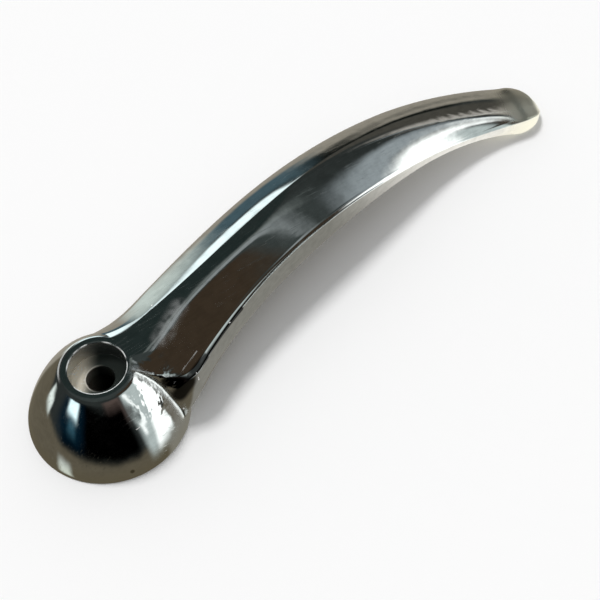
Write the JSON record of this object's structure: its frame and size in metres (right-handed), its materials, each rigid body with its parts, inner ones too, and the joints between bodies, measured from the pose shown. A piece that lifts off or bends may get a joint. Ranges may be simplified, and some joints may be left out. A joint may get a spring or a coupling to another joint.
{
  "type": "car interior door handle",
  "caption": "Chromed interior door handle: a domed round hub with a sunk screw seat carries a long curved tapering lever with a rounded drooping nose.",
  "frame": {"origin": "on the screw axis in the plane of the hub's base face, in the mouth of the spindle socket", "axes": "+Z along the screw axis out of the door; +X from the hub towards the lever's nose; the lever bows towards +Y"},
  "size_m": [0.1421, 0.0377, 0.016],
  "materials": {
    "chrome": "bright chrome plating, lightly scratched, warmer at the rims"
  },
  "bodies": {
    "root": {"handle": "chrome"}
  },
  "joints": []
}
